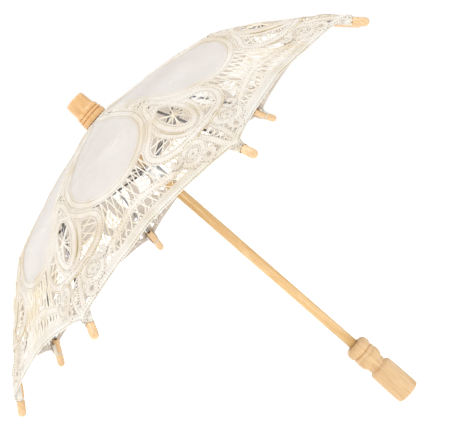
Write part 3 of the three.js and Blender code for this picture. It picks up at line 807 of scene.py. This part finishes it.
def make_handle():
    r = HANDLE_R
    outside = [
        (0, 0), (r * 0.5, 0.1), (r * 0.84, 0.1), (r * 0.95, 0.7), (r, 2.6), (r * 0.995, 10), (r * 0.99, 18), (r * 0.975, 27),
        (r * 0.965, 35.4), (r * 0.94, 37.6), (r * 0.84, 38.8), (r * 0.72, 39.6), (r * 0.7, 40.6), (r * 0.755, 41.5),
        (r * 0.755, 43.4), (r * 0.72, 44.1), (r * 0.78, 45), (r * 0.9, 47.6), (r * 0.95, 50.4), (r * 0.96, 52.6),
        (r * 0.94, 54.9), (r * 0.885, 55.5), (r * 0.925, 56.3), (r * 0.925, 58.6), (r * 0.89, 59.4), (r * 0.81, 59.9),
        (r * 0.81, 60.3), (r * 0.93, 61), (r * 0.975, 63.4), (r * 0.975, 65.6), (r * 0.93, 68.4), (r * 0.8, 70.3),
        (r * 0.66, 71), (SHAFT_R + 0.5, 71),
    ]
    profile = rounded(outside) + [(SHAFT_R + 0.3, 70.6), (SHAFT_R + 0.3, 30.7), (0, 30.7)]
    stand_in(lathe("handle_turned", profile, 96, uneven=0.004), "stick", "handle", "handle_wood", handle_wood)


def make_finial():
    r, base = FINIAL_R, FINIAL_Z
    top = base + 28.7
    outside = [
        (SHAFT_R + 0.5, base), (r * 0.88, base), (r * 0.985, base + 0.4), (r, base + 1.4), (r, base + 4.7),
        (r * 0.975, base + 5.4), (r * 0.88, base + 5.7), (r * 0.88, base + 6.0), (r * 0.965, base + 6.3),
        (r * 0.975, base + 7.2), (r * 0.96, base + 8.7), (r * 0.86, base + 9.3), (r * 0.86, base + 9.6),
        (r * 0.93, base + 9.9), (r * 0.93, base + 10.9), (r * 0.89, base + 13.0), (r * 0.82, base + 14.2),
        (r * 0.8, base + 16), (r * 0.785, base + 21), (r * 0.77, top - 3.0), (r * 0.74, top - 1.0),
        (r * 0.66, top - 0.1), (r * 0.45, top), (0, top),
    ]
    profile = [(0, 412.3), (SHAFT_R + 0.3, 412.3), (SHAFT_R + 0.3, base + 0.2)] + rounded(outside)
    stand_in(lathe("finial_turned", profile, 96, uneven=0.004), "stick", "finial", "finial_wood", finial_wood)


def tip_frame():
    """Where a tip's outer end is in the rib's plane, and its direction."""
    grip = TIP_LENGTH - TIP_BORE / 2
    share = 1 - grip / OUTER.length
    angle = OUTER.angle_at(share)
    x, z = OUTER.at(share)
    return x + grip * math.cos(angle), z + grip * math.sin(angle), angle


def tip_matrix(rib):
    x, z, angle = tip_frame()
    back = Vector((-math.cos(angle), 0, -math.sin(angle)))
    side = Vector((0, 1, 0))
    up = side.cross(back)
    local = Matrix((up, side, back)).transposed().to_4x4()
    local.translation = (x, 0, z)
    return Matrix.Rotation(rib_angle(rib), 4, "Z") @ local


def make_tips():
    r, w = TIP_R, WAIST
    outside = [
        (0, 0), (r * 0.45, 0.25), (r * 0.78, 1.3), (r * 0.95, 3), (r, 5), (r, w - 3), (r * 0.97, w - 1.8),
        (3.3, w - 0.9), (3.3, w + 0.9), (r * 0.97, w + 1.8), (r, w + 3), (r * 0.97, 26), (r * 0.94, TIP_LENGTH - 3),
        (r * 0.82, TIP_LENGTH - 0.8), (r * 0.7, TIP_LENGTH), (1.9, TIP_LENGTH),
    ]
    profile = rounded(outside) + [(1.8, TIP_LENGTH - 0.3), (1.8, TIP_LENGTH - TIP_BORE), (0, TIP_LENGTH - TIP_BORE)]
    for rib in range(1, RIBS + 1):
        piece = lathe(f"tip_turned_{rib}", profile, 40, tip_matrix(rib), 0.01)
        stand_in(piece, f"rib_end_{rib}", f"tip_{rib}", "tip_wood", tip_wood)


def wire_piece(name, path, radius, body, made, sides=8, closed=False):
    """A round wire along points in millimetres."""
    path = [Vector(p) for p in path]
    count = len(path)
    bm = bmesh.new()
    rings = []
    up = Vector((0, 0, 1))
    for i, p in enumerate(path):
        after = path[(i + 1) % count] if closed or i + 1 < count else p
        before = path[i - 1] if closed or i else p
        t = (after - before).normalized()
        n = (up - t * up.dot(t))
        n = n.normalized() if n.length > 1e-4 else t.orthogonal().normalized()
        up = n
        b = t.cross(n)
        rings.append([bm.verts.new(p + (n * math.cos(a) + b * math.sin(a)) * radius) for a in np.arange(sides) * 2 * math.pi / sides])
    pairs = list(zip(rings, rings[1:])) + ([(rings[-1], rings[0])] if closed else [])
    for low, high in pairs:
        for k in range(sides):
            j = (k + 1) % sides
            bm.faces.new([low[k], low[j], high[j], high[k]]).smooth = True
    if not closed:
        bm.faces.new(rings[0][::-1])
        bm.faces.new(rings[-1])
    bmesh.ops.recalc_face_normals(bm, faces=bm.faces[:])
    bm.transform(Matrix.Scale(MM, 4))
    mesh = bpy.data.meshes.new(name)
    bm.to_mesh(mesh)
    bm.free()
    obj = bpy.data.objects.new(name, mesh)
    bpy.context.scene.collection.objects.link(obj)
    mesh.materials.append(made)
    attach(obj, body)
    return obj


def make_ties():
    """Thread wound round each tip's waist in five turns."""
    for rib in range(1, RIBS + 1):
        place = tip_matrix(rib)
        turns, per = 5, 22
        path = []
        for i in range(turns * per + 1):
            a = 2 * math.pi * i / per + rib
            r = TIE_R[0] + (TIE_R[1] - TIE_R[0]) * smooth(math.cos(a), -0.6, 0.1)
            path.append(place @ Vector((r * math.cos(a), r * math.sin(a), WAIST - 0.95 + 1.9 * i / (turns * per))))
        wire_piece(f"tip_tie_{rib}", path, 0.3, f"rib_end_{rib}", thread_material, 6)


def smooth_copy(cad_node, body, slot, made, name=None):
    """The CAD solid with its round faces shaded smooth."""
    source = NODES[cad_node].data
    bm = bmesh.new()
    bm.from_mesh(source)
    bmesh.ops.remove_doubles(bm, verts=bm.verts[:], dist=1e-6)
    for face in bm.faces:
        face.smooth = True
        face.material_index = 0
    mesh = bpy.data.meshes.new(name or cad_node + "_plated")
    bm.to_mesh(mesh)
    bm.free()
    mesh.set_sharp_from_angle(angle=math.radians(48))
    obj = bpy.data.objects.new(mesh.name, mesh)
    bpy.context.scene.collection.objects.link(obj)
    return stand_in(obj, body, cad_node, slot, made)


def make_metal():
    smooth_copy("top_notch", "stick", "plated_fitting", nickel)
    smooth_copy("runner", "runner", "plated_fitting", nickel)
    smooth_copy("spring_catch", "catch", "bright_wire", nickel)
    smooth_copy("shaft", "stick", "shaft_wood", shaft_wood, "shaft_dowel")
    for small in ("top_notch_wire", "top_notch_pin", "stop_pin"):
        smooth_copy(small, "stick", "bright_wire", nickel)
    for rib in range(1, RIBS + 1):
        smooth_copy(f"rib_inner_{rib}", f"rib_{rib}", "plated_steel", steel_wire)
        smooth_copy(f"rib_outer_{rib}", f"rib_end_{rib}", "plated_steel", steel_wire)
        smooth_copy(f"stretcher_{rib}", f"stretcher_{rib}", "plated_steel", steel_wire)
    ring_r, ring_z = HUB[0], (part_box("runner")[1].z / MM) - 3
    ring = [(ring_r * math.cos(a), ring_r * math.sin(a), ring_z) for a in np.linspace(0, 2 * math.pi, 48, endpoint=False)]
    wire_piece("runner_tie_wire", ring, 0.4, "runner", nickel, 6, closed=True)


def ring_mesh(name, rings, pitch, capped=False):
    """A closed shell through rings of points. The last ring joins the first, unless the ends are capped."""
    bm = bmesh.new()
    uv = bm.loops.layers.uv.new("UVMap")
    verts = [[bm.verts.new(p) for p in ring] for ring in rings]
    around = len(rings[0])
    for i, low in enumerate(verts[:-1] if capped else verts):
        high = verts[(i + 1) % len(verts)]
        for k in range(around):
            j = (k + 1) % around
            face = bm.faces.new([low[k], low[j], high[j], high[k]])
            face.smooth = True
            for loop_, (row, column) in zip(face.loops, ((i, k), (i, k + 1), (i + 1, k + 1), (i + 1, k))):
                loop_[uv].uv = (row * pitch * MM, column * pitch * MM)
    for ring in (verts[0], verts[-1]) if capped else ():
        for k in range(around // 2 - 1):
            bm.faces.new([ring[k], ring[k + 1], ring[around - 2 - k], ring[around - 1 - k]])
    bmesh.ops.recalc_face_normals(bm, faces=bm.faces[:])
    bm.transform(Matrix.Scale(MM, 4))
    mesh = bpy.data.meshes.new(name)
    bm.to_mesh(mesh)
    bm.free()
    mesh.set_sharp_from_angle(angle=math.radians(70))
    obj = bpy.data.objects.new(name, mesh)
    bpy.context.scene.collection.objects.link(obj)
    return obj


def make_rosette():
    """A gathered ring of cloth: a strip drawn up round the shaft, its free edge in small pleats."""
    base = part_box("crown_rosette")[0].z / MM
    around, radial, pleats = 288, 12, 26
    inner = SHAFT_R + 0.4
    layers = []
    for thick in (0.16, -0.16):
        rows = []
        for t in np.linspace(0, 1, radial + 1):
            row = []
            for a in np.arange(around) * 2 * math.pi / around:
                swing = math.sin(a * pleats + 0.9 * math.sin(a * 3)) * (0.75 + 0.35 * math.sin(a * 5 + 1))
                rise = 0.05 + smooth(t, 0.25, 1) * 1.15
                r = inner + (ROSETTE_R + 0.5 * math.sin(a * 7) - inner) * t - max(0, swing) * 0.5 * t
                z = base + 0.3 + swing * rise * 0.62 - smooth(t, 0.62, 1) * 0.5
                row.append((r * math.cos(a), r * math.sin(a), z + thick))
            rows.append(row)
        layers.append(rows)
    obj = ring_mesh("rosette_gathered", layers[0] + layers[1][::-1], 0.4)
    stand_in(obj, "stick", "crown_rosette", "lace", hem_material)


def make_cuffs():
    """The lace gathered over the outer side of each tip, from its waist inward, under the thread."""
    for rib in range(1, RIBS + 1):
        place = tip_matrix(rib)
        rings = []
        for t in np.linspace(0, 1, 13):
            z = WAIST - 1.6 + CUFF_LENGTH * t
            pinch = math.exp(-(((z - WAIST) / 1.5) ** 2))
            layers = []
            for thick in (0, 0.4):
                points = []
                for a in np.radians(np.linspace(-CUFF_REACH_DEG, CUFF_REACH_DEG, 45)):
                    wave = math.sin(9 * a + rib) + 0.6 * math.sin(5 * a + 2 * rib + t * 3)
                    r = CUFF_R + 0.7 * t - 0.75 * pinch + wave * (0.18 + 0.3 * t) * (1 - 0.8 * pinch) - thick
                    end = z + 0.6 * wave * (t == 1) + 0.3 * wave * (t == 0)
                    points.append(place @ Vector((r * math.cos(a), r * math.sin(a), end)))
                layers.append(points)
            rings.append(layers[0] + layers[1][::-1])
        obj = ring_mesh(f"tip_cuff_{rib}", rings, 0.5, capped=True)
        obj.data.materials.append(hem_material)
        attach(obj, f"rib_end_{rib}")


# ---- The canopy ----
UPPER_SPREAD = math.radians(37.5)
LOWER_SPREAD = math.radians(34)


def make_canopy():
    pattern = make_pattern()
    upper = clipped(pattern, SIDES + [(ELBOW_CUT, (1, 0, 0))])
    lower = clipped(pattern, SIDES + [(ELBOW_CUT, (-1, 0, 0))])
    for rib in range(1, RIBS + 1):
        for side, hand in ((1, "left"), (-1, "right")):
            for part, mesh, body, cad, bow, spread in (
                ("upper", upper, f"rib_{rib}", f"canopy_upper_{rib}", INNER, UPPER_SPREAD),
                ("lower", lower, f"rib_end_{rib}", f"canopy_lower_{rib}", OUTER, LOWER_SPREAD),
            ):
                piece = lace_piece(f"lace_{part}_{rib}_{hand}", mesh, rib, side)
                r, z = bow.at(0.5, CLOTH_LIFT * 0.6)
                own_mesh(piece)
                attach(piece, body)
                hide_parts(cad)


# ---- Stage, lights and camera ----
CAMERA_LENS = 109.91
CAMERA_FAR = 1324.487
CAMERA_UP_DEG = 2.0406
CAMERA_ROLL_DEG = -48.9002
CAMERA_SHIFT = (24.523, -5.092)
LOOK_Z = 266.15


def camera_axes():
    el, roll = math.radians(CAMERA_UP_DEG), math.radians(CAMERA_ROLL_DEG)
    back = Vector((0, -math.cos(el), math.sin(el)))
    right = Vector((1, 0, 0))
    up = Vector((0, math.sin(el), math.cos(el)))
    return (
        right * math.cos(roll) + up * math.sin(roll),
        right * -math.sin(roll) + up * math.cos(roll),
        back,
    )


def make_camera():
    x, y, back = camera_axes()
    data = bpy.data.cameras.new("camera")
    data.lens = CAMERA_LENS
    data.sensor_width = 36
    data.clip_start, data.clip_end = 0.05, 20
    cam = bpy.data.objects.new("camera", data)
    bpy.context.scene.collection.objects.link(cam)
    place = back * CAMERA_FAR + x * CAMERA_SHIFT[0] + y * CAMERA_SHIFT[1] + Vector((0, 0, LOOK_Z))
    basis = Matrix((x, y, back)).transposed().to_4x4()
    basis.translation = place * MM
    cam.matrix_world = basis
    bpy.context.scene.camera = cam


def floor_frame():
    """The floor that the parasol lies on: it touches two tips and the edge of the handle's end."""
    x, z, _ = tip_frame()
    tips = [Vector((x * math.cos(rib_angle(k)), x * math.sin(rib_angle(k)), z)) for k in (5, 4)]
    along = tips[1] - tips[0]
    normal = along.cross(Vector((0, 0, 0)) - tips[0]).normalized()
    if normal.x < 0:
        normal.negate()
    for _ in range(4):
        rim = Vector((-normal.x, -normal.y, 0)).normalized() * HANDLE_R
        normal = along.cross(rim - tips[0]).normalized()
        if normal.x < 0:
            normal.negate()
    return tips[0] - normal * (TIP_R * 0.9), normal


def make_floor():
    place, normal = floor_frame()
    size, steps = 9.0, 24
    bm = bmesh.new()
    bmesh.ops.create_grid(bm, x_segments=steps, y_segments=steps, size=size / 2)
    turn = normal.to_track_quat("Z", "Y").to_matrix().to_4x4()
    bm.transform(Matrix.Translation(place * MM) @ turn)
    mesh = bpy.data.meshes.new("floor")
    bm.to_mesh(mesh)
    bm.free()
    floor = bpy.data.objects.new("floor", mesh)
    bpy.context.scene.collection.objects.link(floor)
    made, tree, shader = material("floor")
    shader.inputs["Base Color"].default_value = (0.93, 0.93, 0.925, 1)
    shader.inputs["Roughness"].default_value = 0.9
    shader.inputs["Specular IOR Level"].default_value = 0.1
    shader.inputs["Emission Color"].default_value = (1, 1, 1, 1)
    shader.inputs["Emission Strength"].default_value = 0.5
    behind = node(tree, "ShaderNodeNewGeometry").outputs["Backfacing"]
    clear = node(tree, "ShaderNodeBsdfTransparent")
    mixed = node(tree, "ShaderNodeMixShader", {0: behind, 1: shader.outputs[0], 2: clear.outputs[0]})
    tree.links.new(mixed.outputs[0], tree.nodes["Material Output"].inputs["Surface"])
    mesh.materials.append(made)


def area_light(name, place, target, size, power, colour=(1, 1, 1)):
    data = bpy.data.lights.new(name, "AREA")
    data.shape = "DISK"
    data.size = size
    data.energy = power
    data.color = colour
    lamp = bpy.data.objects.new(name, data)
    bpy.context.scene.collection.objects.link(lamp)
    lamp.location = place
    lamp.rotation_mode = "QUATERNION"
    lamp.rotation_quaternion = (Vector(place) - Vector(target)).to_track_quat("Z", "Y")


def make_lights():
    x, y, back = camera_axes()
    centre = Vector((0, 0, LOOK_Z * MM))
    area_light("key", centre + (y * 1.5 - x * 0.9 + back * 0.7), centre, 1.2, 14)
    area_light("fill", centre + (x * 1.4 + y * 0.4 + back * 1.0), centre, 1.4, 5)
    world = bpy.data.worlds.new("studio")
    bpy.context.scene.world = world
    world.use_nodes = True
    tree = world.node_tree
    ground = tree.nodes["Background"]
    ground.inputs["Color"].default_value = (1, 1, 1, 1)
    ground.inputs["Strength"].default_value = 1.0
    _, normal = floor_frame()
    bright_side = (normal * 0.75 + back * 0.65).normalized()
    place = node(tree, "ShaderNodeTexCoord").outputs["Generated"]
    height = node(tree, "ShaderNodeVectorMath", {0: place, 1: tuple(bright_side)}, operation="DOT_PRODUCT").outputs["Value"]
    room = ramp(tree, node(tree, "ShaderNodeMapRange", {"Value": height, "From Min": -1.0, "From Max": 1.0}).outputs[0],
                [(0.0, (0.3,) * 3), (0.35, (0.42,) * 3), (0.5, (0.6,) * 3), (0.72, (0.92,) * 3), (1.0, (1.0,) * 3)])
    lit = node(tree, "ShaderNodeBackground", {"Color": room, "Strength": 0.92})
    seen = node(tree, "ShaderNodeLightPath").outputs["Is Camera Ray"]
    mixed = node(tree, "ShaderNodeMixShader", {0: seen, 1: lit.outputs[0], 2: ground.outputs[0]})
    tree.links.new(mixed.outputs[0], tree.nodes["World Output"].inputs["Surface"])
    bpy.context.scene.view_settings.view_transform = "Standard"


make_camera()
make_metal()
make_handle()
make_finial()
make_tips()
make_cuffs()
make_ties()
make_canopy()
make_rosette()
make_floor()
make_lights()
